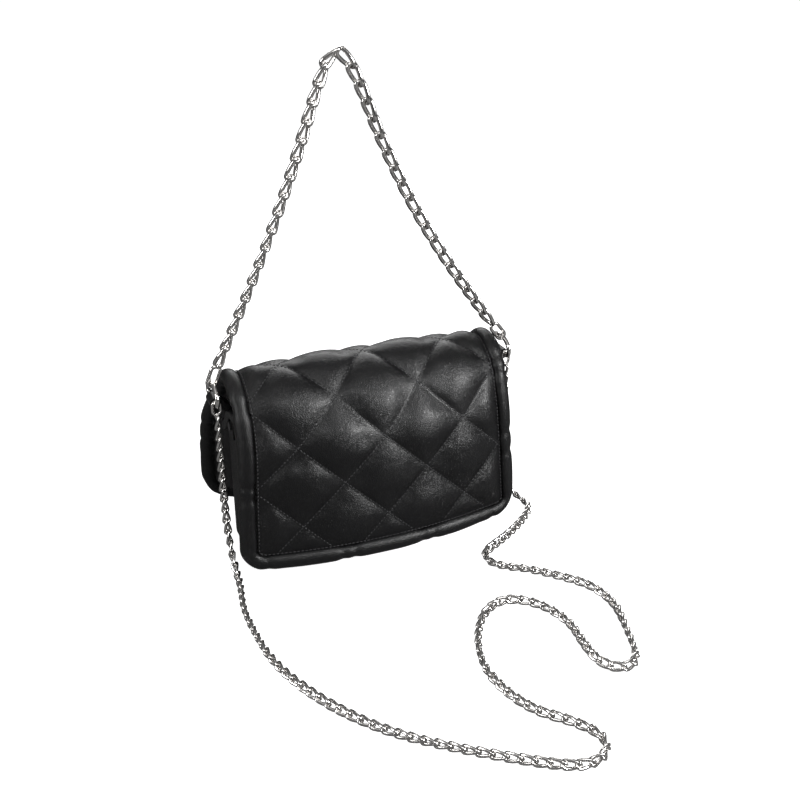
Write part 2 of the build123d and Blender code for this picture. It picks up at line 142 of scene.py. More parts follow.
def subdivide(piece):
    """Smooths a mesh by one subdivision, for good."""
    modifier = piece.modifiers.new("smooth", "SUBSURF")
    modifier.levels = modifier.render_levels = 1
    apply_modifiers(piece)


def apply_modifiers(piece):
    """Replaces a piece's mesh by what its modifiers make of it."""
    graph = bpy.context.evaluated_depsgraph_get()
    old = piece.data
    piece.data = bpy.data.meshes.new_from_object(piece.evaluated_get(graph))
    piece.modifiers.clear()
    piece.data.name = piece.name
    bpy.data.meshes.remove(old)


def smoothstep(low, high, value):
    t = np.clip((np.asarray(value, float) - low) / (high - low), 0, 1)
    return t * t * (3 - 2 * t)


# ---------------------------------------------------------------- the wrap's shape
def profile_table(step=0.5):
    """Distance, Y, Z and heading along the wrap's end, from the foot to the flap's tip."""
    rows = []
    (y, z, heading), along = BACK_START, 0.0
    for length, turn in BACK_MOVES + FLAP_MOVES:
        count = max(2, round(length / step))
        for k in range(count):
            rows.append((along, y, z, heading))
            middle = math.radians(heading + turn / count / 2)
            y += length / count * math.cos(middle)
            z += length / count * math.sin(middle)
            heading += turn / count
            along += length / count
    rows.append((along, y, z, heading))
    return np.array(rows).T


PROFILE = profile_table()


def half_width(s):
    """Half the wrap's width: it flares towards the foot of the back and along the flap."""
    return (HALF_TOP + FLARE * (1 - smoothstep(0, 108, s))
            + FLAP_FLARE * smoothstep(BACK_LENGTH, BACK_LENGTH + 60, s))


def wrap_point(x, s, depth=0.0):
    """Points at X and s on the wrap, depth below its face. Arrays or numbers."""
    x, s, depth = np.broadcast_arrays(*(np.asarray(v, float) for v in (x, s, depth)))
    y, z, heading = (np.interp(s, PROFILE[0], PROFILE[k]) for k in (1, 2, 3))
    a = np.radians(heading)
    across = 1 - np.clip(x / half_width(s), -1, 1) ** 2
    lift = TOP_RISE * (1 + across)
    behind = 1 - smoothstep(70, 150, s)
    over = np.exp(-((s - 135) / 22) ** 2)
    ahead = smoothstep(BACK_LENGTH + 15, BACK_LENGTH + 90, s)
    y = y - depth * np.sin(a) + BOW * across * behind - FLAP_CURL * (1 - across) * ahead
    z = z + depth * np.cos(a) + lift * over
    return np.stack([x, y, z], axis=-1)


def quilt_uv(x, s):
    """Quilt coordinates: the seams lie where either one is a whole number."""
    a, b = (x - QUILT_AT[0]) / QUILT_X, (s - QUILT_AT[1]) / QUILT_S
    return a + b, a - b


def across_hinge(piece):
    """Bakes the piece's placement into its mesh; nothing is turned with the flap here."""
    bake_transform(piece)


# ---------------------------------------------------------------- shader helpers
class Nodes:
    """Short way to add and join shader nodes in one tree."""

    def __init__(self, tree):
        self.tree = tree

    def add(self, kind, settings=None, **inputs):
        node = self.tree.nodes.new("ShaderNode" + kind)
        for key, value in (settings or {}).items():
            setattr(node, key, value)
        for key, value in inputs.items():
            name = int(key[2:]) if key.startswith("in") and key[2:].isdigit() else key.replace("_", " ")
            if isinstance(value, bpy.types.NodeSocket):
                self.tree.links.new(value, node.inputs[name])
            else:
                node.inputs[name].default_value = value
        return node

    def math(self, operation, a, b=0.0):
        node = self.add("Math", {"operation": operation}, in0=a, in1=b)
        return node.outputs[0]

    def ramp(self, value, low, high, out_low=0.0, out_high=1.0):
        node = self.add("MapRange", {"clamp": True}, Value=value, From_Min=low, From_Max=high,
                        To_Min=out_low, To_Max=out_high)
        return node.outputs["Result"]

    def noise(self, vector, scale, detail=2.0, roughness=0.5):
        node = self.add("TexNoise", Vector=vector, Scale=scale, Detail=detail, Roughness=roughness)
        return node.outputs["Fac"]


def new_material(name):
    material = bpy.data.materials.new(name)
    material.use_nodes = True
    nodes = Nodes(material.node_tree)
    shader = material.node_tree.nodes["Principled BSDF"]
    return material, nodes, shader


def group(name, outputs):
    """An empty shader node group with float outputs."""
    tree = bpy.data.node_groups.new(name, "ShaderNodeTree")
    for socket in outputs:
        tree.interface.new_socket(socket, in_out="OUTPUT", socket_type="NodeSocketFloat")
    end = tree.nodes.new("NodeGroupOutput")
    return tree, Nodes(tree), end.inputs


def leather_group():
    """Grain height, slow variation and scuffs of smooth dressed leather."""
    tree, n, out = group("leather_grain", ["Height", "Variation", "Scuff"])
    place = n.add("TexCoord").outputs["Object"]
    warp = n.add("TexNoise", Vector=place, Scale=260.0, Detail=2.0).outputs["Color"]
    moved = n.add("VectorMath", {"operation": "MULTIPLY_ADD"}, in0=warp, in1=(0.0012,) * 3, in2=place)
    cells = n.add("TexVoronoi", {"feature": "DISTANCE_TO_EDGE"}, Vector=moved.outputs[0], Scale=950.0)
    creases = n.ramp(cells.outputs["Distance"], 0.0, 0.22)
    fine = n.noise(place, 2600.0, 3.0, 0.6)
    slow = n.noise(place, 28.0, 4.0, 0.55)
    folds = n.noise(place, 120.0, 3.0, 0.6)
    height = n.math("MULTIPLY", creases, 0.55)
    height = n.math("ADD", height, n.math("MULTIPLY", fine, 0.3))
    height = n.math("ADD", height, n.math("MULTIPLY", folds, 0.2))
    n.tree.links.new(height, out["Height"])
    n.tree.links.new(slow, out["Variation"])
    scuff = n.ramp(n.noise(place, 70.0, 6.0, 0.7), 0.56, 0.72)
    n.tree.links.new(scuff, out["Scuff"])
    return tree


LEATHER_GRAIN = leather_group()


def grain(nodes):
    """The leather group's outputs, placed in one material."""
    node = nodes.tree.nodes.new("ShaderNodeGroup")
    node.node_tree = LEATHER_GRAIN
    return node.outputs


def finish_leather(nodes, shader, outputs, height, tint, rough, bump):
    """Colour, sheen and bump shared by the leathers."""
    mix = nodes.add("Mix", {"data_type": "RGBA"}, Factor=outputs["Variation"])
    mix.inputs["A"].default_value = (*[c * 0.72 for c in tint], 1)
    mix.inputs["B"].default_value = (*[c * 1.35 for c in tint], 1)
    nodes.tree.links.new(mix.outputs["Result"], shader.inputs["Base Color"])
    value = nodes.math("ADD", nodes.ramp(outputs["Variation"], 0.3, 0.7, rough - 0.025, rough + 0.035),
                       nodes.math("MULTIPLY", outputs["Scuff"], 0.08))
    nodes.tree.links.new(value, shader.inputs["Roughness"])
    node = nodes.add("Bump", Strength=1.0, Distance=bump, Height=height)
    nodes.tree.links.new(node.outputs["Normal"], shader.inputs["Normal"])
    shader.inputs["Specular IOR Level"].default_value = 0.4
    shader.inputs["Coat Weight"].default_value = 0.06
    shader.inputs["Coat Roughness"].default_value = 0.25


def quilted_leather():
    """Leather with puckers that gather along the quilt seams."""
    material, n, shader = new_material("quilted_leather")
    outputs = grain(n)
    quilt = n.add("Attribute", {"attribute_name": "quilt"}).outputs["Vector"]
    u, v = (n.add("SeparateXYZ", Vector=quilt).outputs[k] for k in (0, 1))

    def near(value):
        """1 on a seam, falling to 0 beside it."""
        gap = n.math("PINGPONG", value, 0.5)
        return n.ramp(gap, 0.0, 0.17, 1.0, 0.0)

    wave = n.add("TexNoise", {"noise_dimensions": "3D"}, Vector=quilt, Scale=9.0, Detail=2.0)
    drift = n.math("MULTIPLY", wave.outputs["Fac"], 9.0)
    height = None
    for own, other in ((u, v), (v, u)):
        ripple = n.math("SINE", n.math("ADD", n.math("MULTIPLY", other, 62.0), drift))
        gather = n.math("MULTIPLY", n.math("POWER", near(own), 2.2), ripple)
        height = gather if height is None else n.math("ADD", height, gather)
    height = n.math("ADD", n.math("MULTIPLY", height, 0.4), outputs["Height"])
    finish_leather(n, shader, outputs, height, (0.004, 0.004, 0.0044), 0.33, 0.00013)
    return material


def smooth_leather():
    """Plain leather of the border, pouch and tabs."""
    material, n, shader = new_material("smooth_leather")
    outputs = grain(n)
    finish_leather(n, shader, outputs, outputs["Height"], (0.0042, 0.0042, 0.0046), 0.34, 0.00013)
    return material


def edge_leather():
    """Cut and painted edges, a little more matt than the leather."""
    material, n, shader = new_material("painted_edge")
    outputs = grain(n)
    finish_leather(n, shader, outputs, outputs["Height"], (0.006, 0.0059, 0.006), 0.48, 0.00012)
    return material


def lining_cloth():
    """Dark smooth cloth with a fine twill."""
    material, n, shader = new_material("lining_cloth")
    place = n.add("TexCoord").outputs["Object"]
    turned = n.add("Mapping", Vector=place, Rotation=(0.0, 0.6, 0.78))
    twill = n.add("TexWave", {"bands_direction": "X"}, Vector=turned.outputs[0], Scale=420.0,
                  Distortion=0.6, Detail=1.0)
    slub = n.noise(place, 900.0, 3.0)
    height = n.math("ADD", twill.outputs["Fac"], slub)
    shade = n.add("ValToRGB", Fac=n.noise(place, 60.0, 4.0))
    shade.color_ramp.elements[0].color = (0.010, 0.010, 0.011, 1)
    shade.color_ramp.elements[1].color = (0.022, 0.021, 0.022, 1)
    n.tree.links.new(shade.outputs["Color"], shader.inputs["Base Color"])
    shader.inputs["Roughness"].default_value = 0.62
    shader.inputs["Sheen Weight"].default_value = 0.25
    shader.inputs["Sheen Roughness"].default_value = 0.4
    bump = n.add("Bump", Strength=0.6, Distance=0.0001, Height=height)
    n.tree.links.new(bump.outputs["Normal"], shader.inputs["Normal"])
    return material


def thread():
    """Waxed black thread."""
    material, n, shader = new_material("thread")
    place = n.add("TexCoord").outputs["Object"]
    shade = n.add("ValToRGB", Fac=n.noise(place, 800.0, 2.0))
    shade.color_ramp.elements[0].color = (0.012, 0.012, 0.013, 1)
    shade.color_ramp.elements[1].color = (0.035, 0.035, 0.037, 1)
    n.tree.links.new(shade.outputs["Color"], shader.inputs["Base Color"])
    shader.inputs["Roughness"].default_value = 0.5
    return material


def polished_nickel():
    """Plated metal with hairline scratches and smudges; its tone and roughness vary at random."""
    material, n, shader = new_material("polished_nickel")
    place = n.add("TexCoord").outputs["Object"]
    stretched = n.add("Mapping", Vector=place, Rotation=(0.3, 0.5, 0.2), Scale=(1.0, 9.0, 1.0))
    scratch = n.noise(stretched.outputs[0], 700.0, 3.0, 0.7)
    smudge = n.noise(place, 160.0, 4.0, 0.6)
    shade = n.add("ValToRGB", Fac=smudge)
    shade.color_ramp.elements[0].color = (0.74, 0.72, 0.70, 1)
    shade.color_ramp.elements[1].color = (0.90, 0.885, 0.87, 1)
    n.tree.links.new(shade.outputs["Color"], shader.inputs["Base Color"])
    n.tree.links.new(n.ramp(smudge, 0.3, 0.75, 0.09, 0.2), shader.inputs["Roughness"])
    shader.inputs["Metallic"].default_value = 1.0
    bump = n.add("Bump", Strength=0.25, Distance=0.00004, Height=scratch)
    n.tree.links.new(bump.outputs["Normal"], shader.inputs["Normal"])
    return material


def near_black_rivet():
    """Near-black colour on the rivets, lighter in places at random."""
    material, n, shader = new_material("near_black_rivet")
    worn = n.noise(n.add("TexCoord").outputs["Object"], 500.0, 4.0, 0.6)
    shade = n.add("ValToRGB", Fac=worn)
    shade.color_ramp.elements[0].color = (0.008, 0.008, 0.009, 1)
    shade.color_ramp.elements[1].color = (0.03, 0.03, 0.032, 1)
    n.tree.links.new(shade.outputs["Color"], shader.inputs["Base Color"])
    n.tree.links.new(n.ramp(worn, 0.3, 0.8, 0.25, 0.4), shader.inputs["Roughness"])
    return material


RIVET_DARK = near_black_rivet()
QUILTED, LEATHER, EDGE = quilted_leather(), smooth_leather(), edge_leather()
LINING, THREAD, NICKEL = lining_cloth(), thread(), polished_nickel()


# ---------------------------------------------------------------- quilted outer leather
def quilt_lattice():
    """Points and squares of a mesh that runs along the quilt seams, inside the border."""
    inset = 2 * ROLL - 2.2
    reach = CELL_STEPS * SEAM_SPAN
    ids, points, uv = {}, [], []
    for i in range(-reach, reach + 1):
        for j in range(-reach, reach + 1):
            u, v = i / CELL_STEPS, j / CELL_STEPS
            x = QUILT_AT[0] + QUILT_X * (u + v) / 2
            s = QUILT_AT[1] + QUILT_S * (u - v) / 2
            if edge_distance(x, s) > inset:
                ids[i, j] = len(points)
                points.append((x, s))
                uv.append((u, v))
    faces = []
    for (i, j), a in ids.items():
        corners = [ids.get(key) for key in ((i, j), (i + 1, j), (i + 1, j + 1), (i, j + 1))]
        if None not in corners:
            faces.append(corners)
    return np.array(points), np.array(uv), faces


def edge_distance(x, s):
    """Distance in from the wrap's edge, round its four corners."""
    half = half_width(s)
    corner = np.where(np.asarray(s) < WRAP_LENGTH / 2, BACK_CORNER, FLAP_CORNER)
    dx = half - np.abs(x)
    ds = np.minimum(s, WRAP_LENGTH - s)
    rounded = corner - np.hypot(corner - dx, corner - ds)
    return np.where((dx < corner) & (ds < corner), rounded, np.minimum(dx, ds))


def puff(uv):
    """0 on the seams, 1 in the middle of a diamond."""
    f = np.abs(np.sin(np.pi * uv))
    return (f[:, 0] * f[:, 1]) ** 0.6


def pressed(piece, pinned, pressure, growth, frames, cap):
    """Lets the wadding push the leather out between its seams, and keeps the result."""
    start = np.empty(len(piece.data.vertices) * 3)
    piece.data.vertices.foreach_get("co", start)
    held = piece.vertex_groups.new(name="held")
    held.add([int(k) for k in pinned], 1.0, "ADD")
    cloth = piece.modifiers.new("wadding", "CLOTH")
    settings = cloth.settings
    settings.quality = 5
    settings.mass = 0.25
    settings.tension_stiffness = settings.compression_stiffness = 20
    settings.shear_stiffness = 8
    settings.bending_stiffness = 5
    settings.tension_damping = settings.compression_damping = 8
    settings.vertex_group_mass = "held"
    settings.use_pressure = True
    settings.uniform_pressure_force = pressure
    settings.shrink_min = -growth
    settings.effector_weights.gravity = 0
    cloth.collision_settings.use_collision = False
    cloth.point_cache.frame_start, cloth.point_cache.frame_end = 1, frames
    scene = bpy.context.scene
    for number in range(1, frames + 1):
        scene.frame_set(number)
    apply_modifiers(piece)
    end = np.empty_like(start)
    piece.data.vertices.foreach_get("co", end)
    move = (end - start).reshape(-1, 3)
    length = np.linalg.norm(move, axis=1, keepdims=True)
    move *= np.minimum(1, cap * MM / np.maximum(length, 1e-9))
    piece.data.vertices.foreach_set("co", start + move.ravel())
    piece.data.update()
    scene.frame_set(1)
    soft = piece.modifiers.new("settle", "SMOOTH")
    soft.factor = 0.5
    soft.iterations = 7
    soft.vertex_group = "held"
    soft.invert_vertex_group = True
    apply_modifiers(piece)
    piece.vertex_groups.clear()


def sharpen_seams(piece, whole):
    """Creases the edges that lie on a seam, so that subdivision keeps them narrow."""
    edges = np.empty(len(piece.data.edges) * 2, int)
    piece.data.edges.foreach_get("vertices", edges)
    on_seam = (whole[edges].reshape(-1, 2, 2).all(axis=1)).any(axis=1)
    crease = piece.data.attributes.new("crease_edge", "FLOAT", "EDGE")
    crease.data.foreach_set("value", on_seam * 0.75)


def wrap_leather():
    flat, uv, faces = quilt_lattice()
    x, s = flat.T
    inside = edge_distance(x, s)
    rise = puff(uv) * smoothstep(BORDER_SEAM, BORDER_SEAM + 9, inside)
    tuck = smoothstep(BORDER_SEAM + 1, BORDER_SEAM - 2.2, inside) * 1.6
    depth = SEAM_DEPTH + tuck - PUFF_HEIGHT * rise
    points = wrap_point(x, s, depth)
    piece = mesh("wrap_leather", points, faces, QUILTED)
    attribute = piece.data.attributes.new("quilt", "FLOAT_VECTOR", "POINT")
    attribute.data.foreach_set("vector", np.column_stack([uv, np.zeros(len(uv))]).ravel())
    whole = np.abs(uv * CELL_STEPS - np.round(uv) * CELL_STEPS) < 0.01
    pinned = np.flatnonzero(whole.any(axis=1) | (inside < BORDER_SEAM + 0.6))
    pressed(piece, pinned, pressure=7.0, growth=0.022, frames=18, cap=3.5)
    sharpen_seams(piece, whole)
    subdivide(piece)
    across_hinge(piece)
    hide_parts("back_leather", "back_wadding", "back_board", "flap_leather",
                "flap_wadding", "flap_board", "flap_snap_washer")


EDGE_POINTS = 60            # along each straight edge, before even spacing


def loop_path(inset, step):
    """Points (x, s) round the wrap at a distance in from its edge, evenly spaced."""
    corners = []
    for side, low in ((1, True), (1, False), (-1, False), (-1, True)):
        radius = (BACK_CORNER if low else FLAP_CORNER) - inset
        s = inset + radius if low else WRAP_LENGTH - inset - radius
        edge = 0.0 if low else WRAP_LENGTH
        x = side * (half_width(edge) - inset - radius)
        sweep = {(1, True): (-90, 0), (1, False): (0, 90), (-1, False): (90, 180),
                 (-1, True): (180, 270)}[side, low]
        angles = np.radians(np.linspace(*sweep, 12))
        corners.append(np.column_stack([x + radius * np.cos(angles), s + radius * np.sin(angles)]))
    path = []
    for k, corner in enumerate(corners):
        path.append(corner)
        after = corners[(k + 1) % 4][0]
        run = np.linspace(corner[-1], after, EDGE_POINTS + 2)[1:-1]
        if k % 2 == 0:
            side = np.sign(run[0, 0])
            run[:, 0] = side * (half_width(run[:, 1]) - inset)
        path.append(run)
    path = np.vstack(path + [corners[0][:1]])
    gaps = np.hypot(*np.diff(path, axis=0).T)
    along = np.concatenate([[0], np.cumsum(gaps)])
    count = round(along[-1] / step)
    places = np.arange(count) * along[-1] / count
    return np.column_stack([np.interp(places, along, path[:, k]) for k in (0, 1)])


def wrap_border():
    """Padded roll round the wrap. The quilt seams pull it in where they cross it."""
    centre = loop_path(ROLL, 1.5)
    ahead = np.roll(centre, -1, axis=0) - np.roll(centre, 1, axis=0)
    outwards = np.column_stack([ahead[:, 1], -ahead[:, 0]])
    outwards /= np.linalg.norm(outwards, axis=1, keepdims=True)
    x, s = centre.T
    u, v = quilt_uv(x, s)
    seam = [np.abs(c - np.round(c)) * DIAMOND_SIDE for c in (u, v)]
    pull = sum(np.exp(-(gap / 2.2) ** 2) for gap in seam)
    lumps = np.interp(np.arange(len(x)), np.linspace(0, len(x), 90), rng.normal(0, 0.16, 90))
    radius = ROLL - 0.9 * np.clip(pull, 0, 1) + lumps
    sides = 18
    points = []
    middle = wrap_point(x, s, ROLL_DEPTH)
    nearby = 0.5
    beside = wrap_point(x + outwards[:, 0] * nearby, s + outwards[:, 1] * nearby, ROLL_DEPTH) - middle
    beside /= np.linalg.norm(beside, axis=1, keepdims=True)
    normal = middle - wrap_point(x, s, ROLL_DEPTH + 1)
    for k in range(len(x)):
        for j in range(sides):
            a = 2 * math.pi * j / sides
            wide, high = 1.1 * math.cos(a), 0.88 * math.sin(a)
            points.append(middle[k] + radius[k] * (wide * beside[k] + high * normal[k]))
    piece = mesh("wrap_border", points, grid_faces(len(x), sides, True, True), LEATHER)
    subdivide(piece)
    across_hinge(piece)
    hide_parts("back_border", "back_border_core", "flap_border", "flap_border_core")


def wrap_lining():
    """Cloth inside the back and the flap."""
    inset = ROLL + 1
    s = np.linspace(inset, WRAP_LENGTH - inset, 110)
    t = np.linspace(-1, 1, 61)
    points, cut_area = [], 0.0
    for value in s:
        half = float(half_width(value)) - inset
        corner = (BACK_CORNER if value < WRAP_LENGTH / 2 else FLAP_CORNER) - inset
        end = min(value, WRAP_LENGTH - value) - inset
        if end < corner:
            half -= corner - math.sqrt(max(0.0, corner ** 2 - (corner - end) ** 2))
        cut_area += 2 * half * (s[1] - s[0])
        x = t * half
        ripple = 0.25 * np.sin(x / 11 + value / 17) * np.sin(value / 23)
        points.extend(wrap_point(x, value, SHEET - 0.1 + ripple))
    piece = mesh("wrap_lining", points, grid_faces(len(s), len(t)), LINING)
    across_hinge(piece)
    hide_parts("back_lining", "flap_lining")


# ---------------------------------------------------------------- stitches
def stitch_run(points, ahead, normals, length=1.9, width=0.42, sink=0.12):
    """Capsule-shaped stitches lying on a seam: their points and faces."""
    sides, rings = 6, 5
    made, faces = [], []
    for p, d, n in zip(points, ahead, normals):
        w = np.cross(d, n)
        base = len(made)
        for r in range(rings):
            t = r / (rings - 1) * 2 - 1
            round_off = math.sqrt(max(0.04, 1 - t * t)) if abs(t) > 0.99 else 1 - 0.25 * t * t
            bend = 0.22 * (1 - t * t)
            for k in range(sides):
                a = 2 * math.pi * k / sides
                made.append(p + d * t * length / 2 + n * (bend - sink)
                            + width * round_off * (w * math.cos(a) + n * math.sin(a) * 0.8))
        faces += [tuple(base + i for i in f) for f in grid_faces(rings, sides, closed_columns=True)]
        faces.append(tuple(base + i for i in range(sides)))
        faces.append(tuple(base + (rings - 1) * sides + i for i in range(sides))[::-1])
    return made, faces


def seam_frames(x, s, depth):
    """Places, directions and normals of stitches one after another along (x, s)."""
    places = wrap_point(x, s, depth)
    ahead = np.gradient(places, axis=0)
    ahead /= np.linalg.norm(ahead, axis=1, keepdims=True)
    normal = wrap_point(x, s, 0.0) - wrap_point(x, s, 1.0)
    normal -= ahead * (normal * ahead).sum(axis=1, keepdims=True)
    normal /= np.linalg.norm(normal, axis=1, keepdims=True)
    return places, ahead, normal


def wrap_stitches():
    """Stitches along the quilt seams and round the border's inner seam."""
    points, faces = [], []

    def run(x, s, depth):
        made, quads = stitch_run(*seam_frames(x, s, depth))
        start = len(points)
        points.extend(made)
        faces.extend(tuple(start + i for i in f) for f in quads)

    ring = loop_path(BORDER_SEAM, STITCH)
    run(ring[:, 0], ring[:, 1], SEAM_DEPTH + 0.15)
    for k in range(-SEAM_SPAN, SEAM_SPAN + 1):
        for family in (0, 1):
            t = np.arange(-SEAM_SPAN, SEAM_SPAN, STITCH / DIAMOND_SIDE)
            u, v = (np.full_like(t, k), t) if family == 0 else (t, np.full_like(t, k))
            x = QUILT_AT[0] + QUILT_X * (u + v) / 2
            s = QUILT_AT[1] + QUILT_S * (u - v) / 2
            keep = edge_distance(x, s) > BORDER_SEAM + 1.5
            if keep.sum() > 3:
                run(x[keep], s[keep], SEAM_DEPTH)
    piece = mesh("wrap_stitches", points, faces, THREAD)
    across_hinge(piece)


# ---------------------------------------------------------------- side seams
def side_welt(word, side):
    """Layered seam between the border and the gusset: three strips, one behind another."""
    points, faces = [], []
    outline = [(-1, -1), (-0.6, -1.25), (0.6, -1.25), (1, -1), (1.2, 0), (1, 1),
               (0.6, 1.25), (-0.6, 1.25), (-1, 1)]
    for layer in range(3):
        s = np.linspace(9, BACK_LENGTH - 8, 90)
        depth = ROLL_DEPTH + ROLL + 0.6 + layer * 1.75
        out = 3.4 + layer * 0.9
        wave = 0.25 * np.sin(s / 14 + layer * 2.1) + 0.12 * np.sin(s / 5 + layer)
        base = len(points)
        for k, value in enumerate(s):
            outer = float(half_width(value)) - out + wave[k]
            for a, b in outline:
                x = outer - 6.0 + 5.0 * a
                points.append(wrap_point(side * x, value, depth + 0.62 * b))
        rows = grid_faces(len(s), len(outline), closed_columns=True)
        faces += [tuple(base + i for i in f) for f in rows]
    piece = mesh(f"side_welt_leather_{word}", points, faces, EDGE)
    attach(piece, "bag")
    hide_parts(f"side_welt_{word}")


# ---------------------------------------------------------------- pouch
def pouch_outline(z):
    """Half of the pouch's plan at height z: from the back edge to the middle front."""
    sag = 2.6 * math.sin(math.pi * min(1, max(0, z / 84))) ** 2
    corner = POUCH_CORNER
    back_y = float(np.interp(z, PROFILE[2][:200], PROFILE[1][:200])) - ROLL_DEPTH - ROLL - 0.5
    path = []
    for t in np.linspace(0, 1, 12):
        y = back_y + (POUCH_FRONT + corner - back_y) * t
        path.append((HALF_POUCH - sag * math.sin(math.pi * t) ** 1.2, y))
    for a in np.radians(np.linspace(0, 90, 8)[1:]):
        path.append((HALF_POUCH - corner + corner * math.cos(a), POUCH_FRONT + corner - corner * math.sin(a)))
    for t in np.linspace(0, 1, 14)[1:]:
        path.append(((HALF_POUCH - corner) * (1 - t), POUCH_FRONT))
    return path


def pouch_sheet(name, inset, material, low):
    """Side, front and side again as one bent sheet, its lower edge turned under."""
    heights = np.linspace(low + FOOT_TURN, FRONT_TOP, 26)
    rows = []
    for z in heights:
        half = pouch_outline(z)
        whole = half + [(-x, y) for x, y in half[-2::-1]]
        row = []
        for x, y in whole:
            towards_top = (z - low - FOOT_TURN) / (FRONT_TOP - low - FOOT_TURN)
            side = smoothstep(POUCH_FRONT + 5, 14, y) * (abs(x) > HALF_POUCH - 12)
            high = FRONT_TOP + (GUSSET_TOP - FRONT_TOP) * side
            nx = x * (HALF_POUCH - inset) / HALF_POUCH
            ny = y + inset * (1 - smoothstep(POUCH_FRONT, POUCH_FRONT + 20, y))
            row.append((nx, ny, low + FOOT_TURN + towards_top * (high - low - FOOT_TURN)))
        rows.append(row)
    first = rows[0]
    turned = []
    for drop, shrink in ((5.0, 0.965), (4.6, 0.975), (3.4, 0.985), (1.7, 0.995)):
        centre = 10.0
        turned.append([(x * shrink, centre + (y - centre) * (1 - (1 - shrink) * 4), low + FOOT_TURN - drop)
                       for x, y, _ in first])
    rows = turned + rows
    points = [p for row in rows for p in row]
    columns = len(rows[0])
    faces = grid_faces(len(rows), columns)
    points, faces = close_base(points, faces, rows[0], low)
    piece = mesh(name, points, faces, material)
    bm = bmesh.new()
    bm.from_mesh(piece.data)
    bmesh.ops.recalc_face_normals(bm, faces=bm.faces)
    bm.to_mesh(piece.data)
    bm.free()
    subdivide(piece)
    return piece


def close_base(points, faces, foot, low):
    """Flat base from the turned lower edge back to the bowed panel."""
    count = len(foot)
    half = count // 2
    start = len(points)
    rows = []
    for k in range(half + 1):
        left, right = foot[k], foot[count - 1 - k]
        xs = np.linspace(left[0], right[0], 15)
        back = 1 - smoothstep(0, 12, k)
        bow = back * 0.8 * BOW * (1 - (xs / HALF_POUCH) ** 2)
        rows.append([(x, left[1] + b, low) for x, b in zip(xs, bow)])
    points = points + [p for row in rows for p in row]
    faces = faces + [tuple(start + i for i in f) for f in grid_faces(len(rows), 15)]
    return points, faces


def pouch():
    shell = pouch_sheet("pouch_leather", 0.0, LEATHER, 0.2)
    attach(shell, "bag")
    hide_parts("front_leather", "front_board", "front_snap_washer", "base_leather",
                "base_board", "gusset_left", "gusset_right")
    cloth = pouch_sheet("pouch_lining", SHELL, LINING, 4.0)
    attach(cloth, "bag")
    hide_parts("front_lining", "base_lining", "gusset_lining_left", "gusset_lining_right")


def pouch_binding():
    """Folded leather edging over the pouch's rim."""
    half = pouch_outline(FRONT_TOP)
    whole = half + [(-x, y) for x, y in half[-2::-1]]
    line = []
    for x, y in whole:
        side = smoothstep(POUCH_FRONT + 5, 14, y) * (abs(x) > HALF_POUCH - 12)
        line.append((x, y, FRONT_TOP + (GUSSET_TOP - FRONT_TOP) * side))
    line = np.array(line)
    ahead = np.gradient(line, axis=0)
    ahead /= np.linalg.norm(ahead, axis=1, keepdims=True)
    outline = [(-2.1, -6), (-2.5, -2), (-1.9, 0.4), (0, 1.1), (1.9, 0.4), (2.5, -2), (2.1, -6),
               (1.5, -6.1), (-1.5, -6.1)]
    points = []
    for p, d in zip(line, ahead):
        out = np.array([d[1], -d[0], 0.0])
        out /= np.linalg.norm(out)
        up = np.cross(out, d)
        up *= np.sign(up[2])
        inwards = -out * (SHELL / 2)
        for a, b in outline:
            points.append(p + inwards + out * a + up * b)
    piece = mesh("pouch_binding", points, grid_faces(len(line), len(outline), closed_columns=True), LEATHER)
    subdivide(piece)
    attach(piece, "bag")
    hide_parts("front_edge_binding")


def slip_pocket():
    """Cloth pocket on the back's lining, its mouth a little open."""
    half, low, tall = 55.0, 26.0, 52.0
    t = np.linspace(-1, 1, 41)
    h = np.linspace(0, 1, 21)
    points = []
    for b in h:
        for a in t:
            edge = (1 - abs(a) ** 6) * min(1, b * 5)
            gape = 1.4 * edge + 1.2 * edge * b ** 3 * (1 - a * a)
            points.append(wrap_point(a * half, low + tall * b, SHEET + 0.5 + gape))
    piece = mesh("slip_pocket_cloth", points, grid_faces(len(h), len(t)), LINING)
    solid = piece.modifiers.new("thickness", "SOLIDIFY")
    solid.thickness = 0.8 * MM
    apply_modifiers(piece)
    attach(piece, "bag")
    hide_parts("slip_pocket")


# ---------------------------------------------------------------- chains
def route_curve(name, route):
    """The chain's line: a smooth curve with the route's points as its control points."""
    curve = bpy.data.curves.new(name, "CURVE")
    curve.dimensions = "3D"
    spline = curve.splines.new("NURBS")
    spline.points.add(len(route) - 1)
    for point, place in zip(spline.points, route):
        point.co = (*(c * MM for c in place), 1)
    spline.order_u = 3
    spline.use_endpoint_u = True
    spline.resolution_u = 24
    piece = bpy.data.objects.new(name, curve)
    bpy.context.scene.collection.objects.link(piece)
    graph = bpy.context.evaluated_depsgraph_get()
    line = bpy.data.meshes.new_from_object(piece.evaluated_get(graph))
    points = np.array([v.co for v in line.vertices]) / MM
    bpy.data.meshes.remove(line)
    bpy.data.objects.remove(piece)
    return points


def curb_link(width, pitch, wire, around=28, sides=10, twist=40.0):
    """One curb link about the origin, its length along the first axis, its ends twisted."""
    half = (width - wire) / 2
    reach = (pitch + wire) / 2
    straight = reach - half
    points = []
    for k in range(around):
        a = 2 * math.pi * k / around
        c, s = math.cos(a), math.sin(a)
        centre = np.array([math.copysign(straight, c) * min(1, abs(c) * 3) + half * c, half * s, 0.0])
        out = np.array([c, s, 0.0])
        for j in range(sides):
            b = 2 * math.pi * j / sides
            p = centre + wire / 2 * (math.cos(b) * out + math.sin(b) * np.array([0, 0, 1.0]))
            turn = math.radians(twist) * p[0] / reach
            y, z = p[1], p[2]
            points.append((p[0], y * math.cos(turn) - z * math.sin(turn),
                           y * math.sin(turn) + z * math.cos(turn)))
    return np.array(points), grid_faces(around, sides, True, True)


